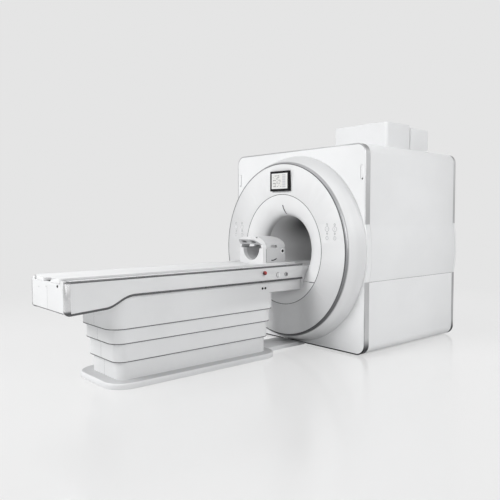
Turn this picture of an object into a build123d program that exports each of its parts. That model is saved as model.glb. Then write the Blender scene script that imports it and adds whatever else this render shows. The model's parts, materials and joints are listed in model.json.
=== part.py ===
from build123d import *
import os
from math import sqrt

# Whole-body MRI scanner with its patient table, in millimetres.
# The origin is on the floor under the middle of the magnet. +Y runs along the bore, away from the table.
# +X is to the right of someone at the foot of the table, looking into the bore.

# Round front and bore. The gantry's width, height and bore height follow from the drum.
drum_base_radius = 1016
drum_floor_gap = 25
drum_side_reach = 16
drum_top_margin = 63
drum_neck_reach = 125
drum_neck_step = 44
shoulder_reach = 182
shoulder_step = 75
ring_slope_reach = 26
ring_slope_step = 16
ring_wall = 12
flange_width = 36
bore_radius = 360
liner_wall = 7
flare_width = 235
flare_reach = 196
bore_start = 60
flare_seam_drop = 322
laser_slot_width = 14
laser_slot_start = 23
laser_slot_length = 97
laser_recess = 2
rear_flare_width = 120
rear_flare_proud = 8
rear_flare_length = 105

# Gantry body
gantry_front = -800
gantry_depth = 1637
skirt_gap = 10
body_corner = 110
bulge_height = 28
bulge_below = 294
bulge_above = 278
cover_wall = 8
seam = 2.5
seat_gap = 0.4
roof_split_inset = 140

# Metal trim bands round the two ends of the body
trim_wall = 12
front_trim_depth = 64
rear_trim_depth = 40

# Monitor and touch keys on the dish
monitor_width = 300
monitor_height = 215
monitor_above_bore = 629
monitor_front = 228
monitor_depth = 48
monitor_bezel = 25
monitor_edge = 5
screen_recess = 1.5
screen_glass = 4
touch_inner_step = 79
touch_outer_step = 185
touch_low_row = 142
touch_row_pitch = 45
touch_radii = (22, 11, 32, 13)
touch_thickness = 4
touch_proud = 1.5

# Lock recesses in the front cover
lock_inset = 50
lock_drop = 290
lock_width = 40
lock_height = 150
lock_recess = 4

# Magnet and what hangs on it
magnet_cover_gap = 136
magnet_bore_gap = 76
magnet_end_gap = 128.5
magnet_edge = 45
gradient_gap = 0.5
gradient_wall = 49.5
gradient_length = 1300
body_coil_gap = 0.5
body_coil_wall = 18
body_coil_length = 560
foot_offset = 450
foot_plate_offset = 495
foot_spacing = 960
foot_plate_width = 320
foot_plate_length = 170
foot_plate_thickness = 25
foot_column = 150
anchor_offset = 600
anchor_hole_radius = 11
neck_width = 360
neck_length = 340
neck_middle = 520
neck_round = 30
neck_gap = 20
neck_rise = 210
cold_head_radius = 75
cold_head_height = 60
cold_motor_radius = 58
cold_motor_height = 85

# Frame that carries the covers
hoop_width = 40
hoop_wall = 5
hoop_front_depth = 92
hoop_rear_depth = 68
rail_size = 40
strut_spacing = 800
strut_length = 60

# Boxes on the roof and behind
turret_width = 830
turret_front = 300
turret_rear = 790
turret_height = 394
turret_corner = 45
turret_edge = 14
roof_wall = 6
service_width = 800
service_reach = 373
service_drop = 420
service_height = 366

# Deck inside the bore, under the tabletop's sliding height
top_below_bore = 155
deck_drop = 11
deck_wall = 12
deck_front_reach = 200
deck_rear_inset = 137
rail_offset = 215
rail_width = 30
rail_gap = 0.5
nose_width = 650
nose_rear_reach = 85
nose_wall = 8
nose_drop = 144
nose_chin_width = 630
nose_chin_drop = 242
nose_round = 12

# Table, measured from its head end beside the dish
table_gap = 10
table_length = 2497
table_width = 690
table_rise = 23
panel_wall = 8
panel_foot_drop = 235
panel_head_drop = 125
curve_start = 320
curve_end = 583
curve_lead_foot = 95
curve_lead_head = 120
table_overhang = 10
ledge_inner = 266
ledge_wall = 6
table_trim = 18
table_trim_wall = 4
trim_proud = 2
panel_corner = 40
panel_foot_rise = 22
corner_band = 50
corner_wrap = 24
corner_round = 20
foot_cap_wall = 30
cap_edge = 6
cap_rise = 9
cap_groove_drop = 36
groove_width = 3
groove_depth = 1.5
belly_rise = 10
belly_wall = 5
undercover_drop = 248
undercover_wall = 6
undercover_edge = 12
cross_count = 7
cross_margin = 75
top_clearance = 2

# Tabletop
top_half_width = 262
top_foot_reach = 8
top_head_inset = 22
top_thickness = 39
top_dip = 20
rim_width = 34
top_edge = 6
top_edge_drop = 4
top_under_run = 22
top_under_rise = 14
top_corner = 45
grip_width = 150
grip_depth = 70
grip_corner = 25
slot_count = 15
slot_margin = 216.5
slot_length = 40
slot_width = 8
slot_depth = 6

# Table frame and drive
beam_offset = 200
beam_width = 60
beam_height = 78
beam_drop = 18
cross_drop = 111
cross_width = 40
saddle_drop = 226
saddle_size = 210
motor_length = 150
motor_width = 130
motor_height = 64
motor_round = 12
wheel_radius = 30
wheel_width = 40
wheel_gap = 0.5
axle_radius = 9
axle_reach = 10

# Pedestal
pedestal_head_inset = 338
pedestal_foot_inset = 375
pedestal_width = 636
pedestal_corner = 130
pedestal_wall = 6
step_end = 29
step_side = 15
lip = 5.5
lip_clearance = 2
top_cover_share = 0.409
middle_cover_share = 0.171
lower_cover_share = 0.215
base_margin = 15
base_width = 770
base_corner = 190
base_shift = 13.5
base_thickness = 49
base_edge = 14
base_hole_spacing_x = 400
base_hole_inset = 249.5
base_hole_radius = 9
dock_width = 330
dock_thickness = 40
dock_end_reach = 92
dock_tongue = 20
dock_round = 8
column_inset = 492
column_width = 180
column_wall = 8
column_gap = 0.5
column_overlap = 62
column_corner = 10
lift_motor_length = 260
lift_motor_width = 150
lift_motor_foot = 30
lift_motor_radius = 58
lift_motor_sink = 10

# Controls on the table
stop_setback = 529
stop_drop = 41
stop_radius = 20
stop_neck_radius = 12
stop_reach = 24
stop_cap = 12
stop_edge = 4
key_inset = 169
key_drop = 196
key_pitch = 36
key_radius = 8
key_reach = 3
key_hole_gap = 0.4
release_setback = 343
lock_knob_setback = 234
knob_drop = 71
knob_radius = 21
lock_knob_radius = 17
knob_reach = 20
knob_shank = 9
knob_gap = 1
knob_dial = 9
knob_bar = 12
knob_edge = 2
shank_inside = 10

# Head coil
coil_setback = 405
coil_length = 305
coil_half_width = 186
coil_height = 147
coil_inner_half = 130
coil_floor = 22
coil_lid_height = 117
coil_lid_wall = 24
visor_reach = 72
visor_rise = 56
visor_wall = 20
brow_height = 38
coil_rear_round = 75
window_lift = 5
window_height = 28
window_length = 83
window_rear = 112
eye_window_offset = 72
eye_window_width = 84
eye_window_height = 26
eye_window_corner = 10
pivot_inset = 33
pivot_radius = 8
pivot_clearance = 0.08
pivot_depth = 12
arm_radius = 20
arm_wall = 8

# Where the gantry's pieces lie
bore_height = drum_base_radius + drum_floor_gap
half = drum_base_radius - drum_side_reach
gantry_width = 2 * half
roof = bore_height + drum_base_radius + drum_top_margin
gantry_height = roof - skirt_gap
front = gantry_front
rear = gantry_front + gantry_depth
bulge_low = bore_height - bulge_below
bulge_high = bore_height + bulge_above
drum_neck_radius = drum_base_radius - drum_neck_step
shoulder_radius = drum_base_radius - shoulder_step
dish_outer_radius = shoulder_radius - ring_slope_step
dish_outer_reach = shoulder_reach + ring_slope_reach
flare_radius = bore_radius + flare_width
rear_flare_radius = bore_radius + rear_flare_width
magnet_radius = drum_base_radius - magnet_cover_gap
magnet_bore_radius = bore_radius + magnet_bore_gap
magnet_length = gantry_depth - 2 * magnet_end_gap
gradient_outer = magnet_bore_radius - gradient_gap
gradient_inner = gradient_outer - gradient_wall
body_coil_outer = gradient_inner - body_coil_gap
body_coil_inner = body_coil_outer - body_coil_wall
neck_top = roof + neck_rise
monitor_bottom = bore_height + monitor_above_bore
bore_axis = Axis((0, 0, bore_height), (0, 1, 0))

# Where the table's pieces lie
table_head = front - dish_outer_reach - table_gap
table_foot = table_head - table_length
top_head = table_head - top_head_inset
top_foot = table_foot - top_foot_reach
top_low = bore_height - top_below_bore
top_rim = top_low + top_thickness
table_top = top_low + table_rise
rail_top = top_low - rail_gap
deck_height = top_low - deck_drop
beam_high = top_low - beam_drop
beam_low = beam_high - beam_height
cross_low = top_low - cross_drop
cross_high = cross_low + cross_width
saddle_low = top_low - saddle_drop
panel_low_foot = top_low - panel_foot_drop
panel_low_head = top_low - panel_head_drop
curve_foot = table_foot + curve_start
curve_head = table_foot + curve_end
undercover_low = top_low - undercover_drop
pedestal_top = cross_low
pedestal_head = table_head - pedestal_head_inset
pedestal_foot = table_foot + pedestal_foot_inset
pedestal_middle = (pedestal_head + pedestal_foot) / 2
pedestal_length = pedestal_head - pedestal_foot
pedestal_height = pedestal_top - base_thickness
middle_top = pedestal_top - top_cover_share * pedestal_height
lower_top = middle_top - middle_cover_share * pedestal_height
foot_top = lower_top - lower_cover_share * pedestal_height
column_offset = pedestal_length / 2 - column_inset
base_length = pedestal_length + base_margin
base_hole_spacing_y = base_length - 2 * base_hole_inset
slot_pitch = (top_head - top_foot - 2 * slot_margin) / (slot_count - 1)
column_length = (saddle_low - base_thickness + 2 * column_overlap) / 3
base_middle = pedestal_middle - base_shift
stop_y = table_head - stop_setback
key_y = pedestal_head - key_inset
key_z = top_low - key_drop
knob_z = top_low - knob_drop
coil_front = table_head - coil_setback
coil_rear = coil_front + coil_length
coil_part = top_rim + coil_height
pivot_y = coil_rear - pivot_inset
pivot_z = coil_part - pivot_inset


def block(x0, x1, y0, y1, z0, z1):
    """A box between two corners."""
    size = Box(x1 - x0, y1 - y0, z1 - z0)
    return Pos((x0 + x1) / 2, (y0 + y1) / 2, (z0 + z1) / 2) * size


def mirrored(shape):
    """The same shape on the other side of the bore's upright plane."""
    return shape.mirror(Plane.YZ)


def body_face(inset):
    """The gantry's outline from the front, moved inwards."""
    square = RectangleRounded(gantry_width - 2 * inset, gantry_height - 2 * inset, body_corner - inset)
    face = Pos(0, skirt_gap + gantry_height / 2) * square
    half_chord = (bulge_high - bulge_low) / 2
    bulge_radius = (half_chord**2 + bulge_height**2) / (2 * bulge_height)
    middle = (bulge_high + bulge_low) / 2
    for side in (-1, 1):
        circle = Pos(side * (half + bulge_height - bulge_radius), middle) * Circle(bulge_radius - inset)
        window = Pos(side * half, middle) * Rectangle(half, 2 * half_chord + body_corner)
        face += circle & window
    return face


def along(face, y0, y1):
    """A face drawn in X and Z, carried along the bore from y0 to y1."""
    return extrude(Plane.XZ.offset(-y1) * face, y1 - y0)


def across(face, x0, x1):
    """A face drawn in Y and Z, carried across the bore from x0 to x1."""
    return extrude(Plane.YZ.offset(x0) * face, x1 - x0)


def polygon(points):
    return make_face(Polyline(*points, close=True))


def turned(points):
    """A ring about the bore from the corners of its section, as (y, radius)."""
    section = polygon([(y, bore_height + r) for y, r in points])
    return revolve(Plane.YZ * section, bore_axis, 360)


def bore_cylinder(radius, y0, y1):
    return along(Pos(0, bore_height) * Circle(radius), y0, y1)


def funnel(start, end, small, large, wall):
    """A ring that flares from the bore at start to a flat rim at end, as a quarter ellipse."""
    length, rise = abs(end - start), large - small
    centre = (start, bore_height + large)
    first = -180 if end < start else -90
    inner = EllipticalCenterArc(centre, length, rise, first, arc_size=90)
    outer = EllipticalCenterArc(centre, length - wall, rise - wall, first, arc_size=90)
    edges = [inner, outer]
    edges.append(Line(inner @ 0, outer @ 0))
    edges.append(Line(inner @ 1, outer @ 1))
    section = make_face(Wire(edges))
    return revolve(Plane.YZ * section, bore_axis, 360)


def save(name, shape):
    export_step(shape, f"parts/{name}.step")


def trim_band(y0, y1, grow):
    """The metal band round one end, left out where the sides bulge."""
    ring = body_face(-grow) - body_face(trim_wall + grow)
    band = along(ring, y0 - grow, y1 + grow)
    wide = gantry_width
    upper = band & block(-wide, wide, 2 * front, 2 * rear, bulge_high - grow, 2 * gantry_height)
    lower = band & block(-wide, wide, 2 * front, 2 * rear, -gantry_height, bulge_low + grow)
    return Compound([*upper.solids(), *lower.solids()])


def end_cover(y_face, y_back, hole_radius):
    """A front or rear cover: a plate with a rim, let in where the metal band sits."""
    low, high = min(y_face, y_back), max(y_face, y_back)
    inner_face = y_face + cover_wall if y_face < y_back else y_face - cover_wall
    hollow_low, hollow_high = min(inner_face, y_back), max(inner_face, y_back)
    cover = along(body_face(0), low, high)
    cover -= along(body_face(trim_wall + cover_wall), hollow_low, hollow_high)
    for band in trim_band(low, high, seat_gap).solids():
        cover -= band
    return cover - bore_cylinder(hole_radius, low - 1, high + 1)


def gantry_covers():
    front_cover = end_cover(front, front + front_trim_depth, drum_base_radius - flange_width)
    recess = SlotOverall(lock_height, lock_width, rotation=90)
    for side in (-1, 1):
        lock = Pos(side * (half - lock_inset), roof - lock_drop)
        front_cover -= along(lock * recess, front - 1, front + lock_recess)
    save("front_cover", front_cover)
    save("rear_cover", end_cover(rear, rear - rear_trim_depth, rear_flare_radius))
    save("front_trim", trim_band(front, front + front_trim_depth, 0))
    save("rear_trim", trim_band(rear - rear_trim_depth, rear, 0))

    y0 = front + front_trim_depth + seam
    y1 = rear - rear_trim_depth - seam
    shell = along(body_face(0) - body_face(cover_wall), y0, y1)
    reach = 2 * gantry_width
    upper = shell & block(half - roof_split_inset, reach, y0, y1, bulge_low, reach)
    lower = shell & block(half - body_corner, reach, y0, y1, 0, bulge_low - seam)
    for side, turn in (("right", lambda s: s), ("left", mirrored)):
        save(f"side_cover_upper_{side}", turn(upper))
        save(f"side_cover_lower_{side}", turn(lower))
    roof_edge = half - roof_split_inset - seam
    top = shell & block(-roof_edge, roof_edge, y0, y1, roof - body_corner, reach)
    hole = neck_width / 2 + neck_gap
    hole_y = neck_length / 2 + neck_gap
    top -= block(-hole, hole, neck_middle - hole_y, neck_middle + hole_y, 0, reach)
    save("top_cover", top)


def round_front():
    """The drum, its metal ring, the dish and the funnel into the bore."""
    shoulder = (front - shoulder_reach, shoulder_radius)
    rim = (front - dish_outer_reach, dish_outer_radius)
    length = sqrt((shoulder[0] - rim[0]) ** 2 + (shoulder[1] - rim[1]) ** 2)
    along_y, along_r = (rim[0] - shoulder[0]) / length, (rim[1] - shoulder[1]) / length
    inward = (-along_r, along_y)

    def moved(point, forward, in_):
        return point[0] + along_y * forward + inward[0] * in_, point[1] + along_r * forward + inward[1] * in_

    base = (front, drum_base_radius)
    neck = (front - drum_neck_reach, drum_neck_radius)
    inner_neck = (neck[0], neck[1] - ring_wall)
    outline = [
        Line(base, neck),
        TangentArc([neck, shoulder], tangent=(neck[0] - base[0], neck[1] - base[1])),
        Polyline(shoulder, moved(shoulder, 0, ring_wall), inner_neck,
                 (front - cover_wall, drum_base_radius - ring_wall),
                 (front - cover_wall, drum_base_radius - flange_width),
                 (front, drum_base_radius - flange_width), base),
    ]
    face = Pos(0, bore_height) * make_face(Wire([e for piece in outline for e in piece.edges()]))
    save("drum", revolve(Plane.YZ * face, bore_axis, 360))
    ring_points = [
        moved(shoulder, seat_gap, 0),
        moved(rim, -seat_gap, 0),
        moved(rim, -seat_gap, ring_wall),
        moved(shoulder, seat_gap, ring_wall),
    ]
    save("drum_trim_ring", turned(ring_points))
    flare_rim = front - flare_reach
    dish_back = (flare_rim + cover_wall, flare_radius)
    dish = turned([rim, (flare_rim, flare_radius), dish_back, moved(rim, 0, ring_wall)])
    hole_x = monitor_width / 2 + seat_gap
    top = monitor_bottom + monitor_height
    dish -= block(-hole_x, hole_x, 2 * front, front, monitor_bottom - seat_gap, top + seat_gap)
    slope = (rim[0] - flare_rim) / (dish_outer_radius - flare_radius)
    keys = []
    inner_column, outer_column = flare_radius + touch_inner_step, flare_radius + touch_outer_step
    for column in (-outer_column, -inner_column, inner_column, outer_column):
        for row, radius in enumerate(touch_radii):
            z = bore_height + touch_low_row + row * touch_row_pitch
            from_rim = sqrt(column**2 + (z - bore_height) ** 2) - flare_radius
            face_y = flare_rim + slope * from_rim - touch_proud
            place = Pos(column, z)
            keys.append(along(place * Circle(radius), face_y, face_y + touch_thickness).solids()[0])
            pocket_y = face_y + touch_thickness + seat_gap
            dish -= along(place * Circle(radius + seat_gap), 2 * front, pocket_y)
    save("dish", dish)
    save("touch_keys", Compound(keys))

    flare_end = front - bore_start
    flare = funnel(flare_end, flare_rim, bore_radius, flare_radius - seam, cover_wall)
    slot_low = bore_height + bore_radius + laser_slot_start
    slot_z = slot_low, slot_low + laser_slot_length
    half_slot = laser_slot_width / 2
    slot = block(-half_slot, half_slot, 2 * front, front, *slot_z)
    reach = 2 * gantry_width
    split = bore_height - flare_seam_drop
    upper = flare & block(-reach, reach, -reach, reach, split + seam / 2, reach)
    lower = flare & block(-reach, reach, -reach, reach, -reach, split - seam / 2)
    save("flare_upper", upper - slot)
    save("flare_lower", lower)
    small, large = bore_radius + laser_recess, flare_radius - seam
    lens = funnel(flare_end, flare_rim, small, large, cover_wall - laser_recess)
    half_slot -= seat_gap
    lens &= block(-half_slot, half_slot, 2 * front, front, slot_z[0] + seat_gap, slot_z[1] - seat_gap)
    save("laser_window", lens)

    liner_end = rear - rear_flare_length
    liner = bore_cylinder(bore_radius + liner_wall, flare_end + seat_gap, liner_end)
    save("bore_liner", liner - bore_cylinder(bore_radius, 2 * front, 2 * rear))
    rear_rim = rear + rear_flare_proud
    back = funnel(liner_end + seat_gap, rear_rim, bore_radius, rear_flare_radius - seat_gap, cover_wall)
    save("rear_flare", back)


def monitor():
    y0 = front - monitor_front
    case = block(-monitor_width / 2, monitor_width / 2, y0, y0 + monitor_depth, monitor_bottom,
                 monitor_bottom + monitor_height)
    case = fillet(case.edges().group_by(Axis.Y)[0], monitor_edge)
    glass_x = monitor_width / 2 - monitor_bezel
    low, high = monitor_bottom + monitor_bezel, monitor_bottom + monitor_height - monitor_bezel
    seat = y0 + screen_recess + screen_glass
    case -= block(-glass_x, glass_x, y0 - 1, seat, low, high)
    save("monitor_case", case)
    gap = seat_gap
    glass = block(-glass_x + gap, glass_x - gap, y0 + screen_recess, seat, low + gap, high - gap)
    save("monitor_screen", glass)


def magnet():
    half_length = magnet_length / 2
    vessel = bore_cylinder(magnet_radius, -half_length, half_length)
    vessel = chamfer(vessel.edges(), magnet_edge)
    neck_x, neck_y = neck_width / 2, neck_length / 2
    neck = block(-neck_x, neck_x, neck_middle - neck_y, neck_middle + neck_y, bore_height, neck_top)
    vessel += fillet(neck.edges().filter_by(Axis.Z), neck_round)
    vessel -= bore_cylinder(magnet_bore_radius, -half_length - 1, half_length + 1)
    save("magnet_vessel", vessel)

    def ring(outer, inner, length):
        return bore_cylinder(outer, -length / 2, length / 2) - bore_cylinder(inner, -length, length)

    save("gradient_coil", ring(gradient_outer, gradient_inner, gradient_length))
    save("body_coil", ring(body_coil_outer, body_coil_inner, body_coil_length))
    head = Pos(0, neck_middle, neck_top) * extrude(Circle(cold_head_radius), cold_head_height)
    motor = extrude(Circle(cold_motor_radius), cold_motor_height)
    save("cold_head", head + Pos(0, neck_middle, neck_top + cold_head_height) * motor)

    feet = []
    for x in (-1, 1):
        for y in (-1, 1):
            middle_y = y * foot_spacing / 2
            plate = Box(foot_plate_width, foot_plate_length, foot_plate_thickness)
            foot = Pos(x * foot_plate_offset, middle_y, foot_plate_thickness / 2) * plate
            column = Box(foot_column, foot_column, bore_height / 2)
            column = Pos(x * foot_offset, middle_y, bore_height / 4) * column
            foot += column - bore_cylinder(magnet_radius + seat_gap, -magnet_length, magnet_length)
            hole = Cylinder(anchor_hole_radius, 2 * bore_height)
            foot -= Pos(x * anchor_offset, middle_y) * hole
            feet.append(foot.solids()[0])
    save("magnet_feet", Compound(feet))


def hoop(y0, step, y1):
    """A stepped channel that runs round inside the covers, open towards the magnet."""
    inner = trim_wall + cover_wall + hoop_width
    low, high = min(y0, y1), max(y0, y1)
    ends = sorted((y0, step))
    sides = sorted((step, y1))
    ring = along(body_face(trim_wall + cover_wall + seat_gap) - body_face(inner), *ends)
    ring += along(body_face(cover_wall + seat_gap) - body_face(inner), *sides)
    channel = body_face(trim_wall + cover_wall + hoop_wall) - body_face(inner + 1)
    return ring - along(channel, low + hoop_wall, high - hoop_wall)


def cover_frame():
    front_step = front + front_trim_depth + seam
    rear_step = rear - rear_trim_depth - seam
    front_end = front + cover_wall + hoop_front_depth
    rear_end = rear - cover_wall - hoop_rear_depth
    frame = hoop(front + cover_wall, front_step, front_end)
    frame += hoop(rear - cover_wall, rear_step, rear_end)
    inner_x = half - cover_wall - seat_gap
    rails = [
        (inner_x - rail_size, bulge_low - rail_size / 2),
        (inner_x - body_corner - rail_size, roof - cover_wall - seat_gap - rail_size),
        (inner_x - body_corner - rail_size, skirt_gap + cover_wall + seat_gap),
    ]
    for x, z in rails:
        rail = block(x, x + rail_size, front_end - hoop_wall, rear_end + hoop_wall, z, z + rail_size)
        frame += rail + mirrored(rail)
    for y in (-strut_spacing / 2, strut_spacing / 2):
        strut = block(magnet_radius / 2, inner_x - rail_size, y - strut_length / 2, y + strut_length / 2,
                      bulge_low - rail_size / 2, bulge_low + rail_size / 2)
        strut -= bore_cylinder(magnet_radius + seat_gap, -magnet_length, magnet_length)
        frame += strut + mirrored(strut)
    save("cover_frame", frame)


def roof_boxes():
    x = turret_width / 2
    top = roof + turret_height
    box = block(-x, x, turret_front, turret_rear, roof, top)
    box = fillet(box.edges().filter_by(Axis.Z), turret_corner)
    box = fillet(box.faces().sort_by(Axis.Z)[-1].edges(), turret_edge)
    w = roof_wall
    room = RectangleRounded(2 * (x - w), turret_rear - turret_front - 2 * w, turret_corner - w)
    box -= extrude(Pos(0, (turret_front + turret_rear) / 2, roof - 1) * room, top - w - roof + 1)
    save("turret_cover", box)

    x = service_width / 2
    y0 = turret_rear + seam
    service_rear = rear + service_reach
    service_low = roof - service_drop
    top = roof + service_height
    box = block(-x, x, y0, service_rear, service_low, top)
    box = fillet(box.faces().sort_by(Axis.Y)[-1].edges().filter_by(Axis.Z), turret_corner)
    box = fillet(box.faces().sort_by(Axis.Z)[-1].edges(), turret_edge)
    depth = service_rear - y0 + turret_corner
    room = RectangleRounded(2 * (x - w), depth, turret_corner - w)
    place = Pos(0, service_rear - w - depth / 2, service_low + w)
    box -= extrude(place * room, top - service_low - 2 * w)
    box -= block(-half, half, y0 - 1, rear + seat_gap, service_low - 1, roof)
    save("rear_service_cover", box)


def bore_deck():
    inside = bore_cylinder(bore_radius - seat_gap, front - flare_reach, rear)
    deck_front, deck_rear = front - deck_front_reach, rear - deck_rear_inset
    deck = block(-half, half, deck_front, deck_rear, deck_height - deck_wall, deck_height)
    for side in (-1, 1):
        left = side * rail_offset - rail_width / 2
        deck += block(left, left + rail_width, deck_front, deck_rear, deck_height, rail_top)
    save("bore_deck", deck & inside)
    x, low = nose_width / 2, top_low - nose_drop
    high = deck_height - deck_wall
    chin = nose_chin_width / 2
    upper = block(-x, x, deck_front, front - nose_rear_reach, low, high)
    lower = block(-chin, chin, deck_front, front - nose_rear_reach, top_low - nose_chin_drop, low)
    nose = fillet(upper.edges().filter_by(Axis.Z).sort_by(Axis.Y)[:2], nose_round)
    nose += fillet(lower.edges().filter_by(Axis.Z).sort_by(Axis.Y)[:2], nose_round)
    hollow_x = chin - nose_wall
    nose -= block(-hollow_x, hollow_x, deck_front + nose_wall, front, 0, high + 1)
    start, end = front - bore_start, front - flare_reach
    centre = (start, bore_height + flare_radius)
    curve = EllipticalCenterArc(centre, start - end + seat_gap, flare_radius - bore_radius + seat_gap, -180,
                                arc_size=90)
    outline = Wire([
        curve,
        Line(curve @ 1, (front, bore_height + bore_radius)),
        Line((front, bore_height + bore_radius), (front, bore_height)),
        Line((front, bore_height), (2 * front, bore_height)),
        Line((2 * front, bore_height), (2 * front, bore_height + flare_radius)),
        Line((2 * front, bore_height + flare_radius), curve @ 0),
    ])
    hollow = revolve(Plane.YZ * make_face(outline), bore_axis, 360)
    save("bridge_nose", nose & hollow)


def panel_profile(inset):
    """The table side seen from the side, moved inwards on every edge but the head end."""
    y0, y1 = table_foot - table_overhang + inset, table_head
    high = table_top - inset
    low_foot, low_head = panel_low_foot - table_overhang + inset, panel_low_head - table_overhang + inset
    low_curve = low_foot + panel_foot_rise
    slope = panel_foot_rise / (curve_foot - table_foot)
    lead = (curve_foot + curve_lead_foot, low_curve + slope * curve_lead_foot)
    flat = (curve_head - curve_lead_head, low_head)
    curve = Bezier((curve_foot, low_curve), lead, flat, (curve_head, low_head))
    edges = [
        Line((y1, low_head), (y1, high)),
        Line((y1, high), (y0, high)),
        Line((y0, high), (y0, low_foot)),
        Line((y0, low_foot), (curve_foot, low_curve)),
        curve,
        Line((curve_head, low_head), (y1, low_head)),
    ]
    face = make_face(Wire(edges))
    return fillet(face.vertices().sort_by(Axis.X)[:2], panel_corner - inset)


def table_sides():
    x = table_width / 2
    whole = panel_profile(0)
    field = panel_profile(table_trim)
    trim = across(whole - field, x - table_trim_wall, x + trim_proud)
    end = table_foot - table_overhang
    band_end = end + corner_band
    band = across(whole, x - corner_wrap, x + trim_proud)
    trim += band & block(0, 2 * x, end - 1, band_end, 0, 2 * table_top)
    centre = Pos(x + trim_proud - corner_round, end + corner_round)
    outside = centre * Pos(corner_round, -corner_round) * Rectangle(2 * corner_round, 2 * corner_round)
    trim -= extrude(outside - centre * Circle(corner_round), 2 * table_top)
    save("table_trims", Compound([*trim.solids(), *mirrored(trim).solids()]))

    inner = x - panel_wall
    grown = table_trim + seat_gap
    band_seat = across(whole - panel_profile(grown), x - table_trim_wall - seat_gap, x + 1)
    band_seat += block(x - corner_wrap - seat_gap, x + 1, end - 1, band_end + seat_gap, 0, 2 * table_top)
    ledge_top = table_top - trim_proud
    panel = across(panel_profile(trim_proud), inner, x)
    panel += block(ledge_inner, inner, band_end + seat_gap, table_head, ledge_top - ledge_wall, ledge_top)
    panel -= band_seat
    save("table_side_left", mirrored(panel))
    stop_hole = Pos(stop_y, top_low - stop_drop) * Circle(stop_neck_radius + key_hole_gap)
    panel -= across(stop_hole, inner - 1, x + 1)
    for setback in (release_setback, lock_knob_setback):
        hole = Pos(table_head - setback, knob_z) * Circle(knob_shank + key_hole_gap)
        panel -= across(hole, inner - 1, x + 1)
    save("table_side_right", panel)


def cross_places():
    """Where the table frame's cross members lie along the table."""
    first, last = table_foot + cross_margin, table_head - cross_margin
    return [first + i * (last - first) / (cross_count - 1) for i in range(cross_count)]


def table_ends():
    """The foot end cover, the belly cover behind it and the cover under the head end."""
    x = table_width / 2 - corner_wrap - seat_gap
    y0 = table_foot - table_overhang + trim_proud
    low = panel_low_foot + cap_rise
    cap = block(-x, x, y0, y0 + foot_cap_wall, low, table_top - trim_proud)
    notch_x = ledge_inner
    cap -= block(-notch_x, notch_x, y0 - 1, y0 + foot_cap_wall + 1, top_low - top_clearance, 2 * table_top)
    cap = fillet(cap.edges().filter_by(Axis.X).sort_by(Axis.Y)[:3], cap_edge)
    groove_top = top_low - cap_groove_drop
    cap -= block(-groove_width / 2, groove_width / 2, y0 - 1, y0 + groove_depth, low, groove_top)
    save("foot_end_cover", cap)

    start = y0 + foot_cap_wall + seat_gap
    end = pedestal_middle - pedestal_length / 2 - seat_gap
    rise = belly_rise
    outline = [
        (start, low), (curve_foot, low), (end, low + rise),
        (end, low + rise + belly_wall), (curve_foot, low + belly_wall), (start, low + belly_wall),
    ]
    save("belly_cover", across(polygon(outline), -x, x))

    x = pedestal_width / 2
    wall = undercover_wall
    y0 = pedestal_middle + pedestal_length / 2 - pedestal_corner
    tray = block(-x, x, y0, table_head, undercover_low, cross_low)
    tray = fillet(tray.edges().filter_by(Axis.Y).sort_by(Axis.Z)[:2], undercover_edge)
    tray -= block(-x + wall, x - wall, y0 - 1, table_head - wall, undercover_low + wall, cross_low + 1)
    wide = table_width / 2 - panel_wall - seat_gap
    tray += block(-wide, wide, table_head - wall, table_head, panel_low_head, top_low - top_clearance)
    tray -= extrude(pedestal_outline(0, -seat_gap), table_top)
    save("head_end_cover", tray)


def tabletop_face():
    """The tabletop's section: a flat underside, raised rims and a shallow hollow between them."""
    x = top_half_width
    hollow = x - rim_width
    edge = top_edge
    hollow_rim = top_rim - top_edge_drop
    arc = ThreePointArc((hollow, hollow_rim), (0, top_rim - top_dip), (-hollow, hollow_rim))
    points = [
        (-hollow, hollow_rim), (-hollow - edge, top_rim), (-x + edge, top_rim), (-x, top_rim - edge),
        (-x, top_low + top_under_rise), (-x + top_under_run, top_low), (x - top_under_run, top_low),
        (x, top_low + top_under_rise), (x, top_rim - edge), (x - edge, top_rim), (hollow + edge, top_rim),
        (hollow, hollow_rim),
    ]
    return make_face(Wire([arc, *Polyline(*points).edges()]))


def tabletop():
    board = along(tabletop_face(), top_foot, top_head)
    middle = (top_foot + top_head) / 2
    plan = Pos(0, middle) * Rectangle(2 * top_half_width + 2, top_head - top_foot)
    plan = fillet(plan.vertices().sort_by(Axis.Y)[:2], top_corner)
    board &= extrude(plan, 2 * table_top)
    grip = Pos(0, top_foot) * RectangleRounded(grip_width, 2 * grip_depth, grip_corner)
    board -= extrude(grip, 2 * table_top)
    slot_x = top_half_width - rim_width / 2
    slot = SlotOverall(slot_length, slot_width, rotation=90)
    for i in range(slot_count):
        y = middle + (i - (slot_count - 1) / 2) * slot_pitch
        for side in (-1, 1):
            board -= extrude(Pos(side * slot_x, y, top_rim - slot_depth) * slot, slot_depth + 1)
    save("tabletop", board)


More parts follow.
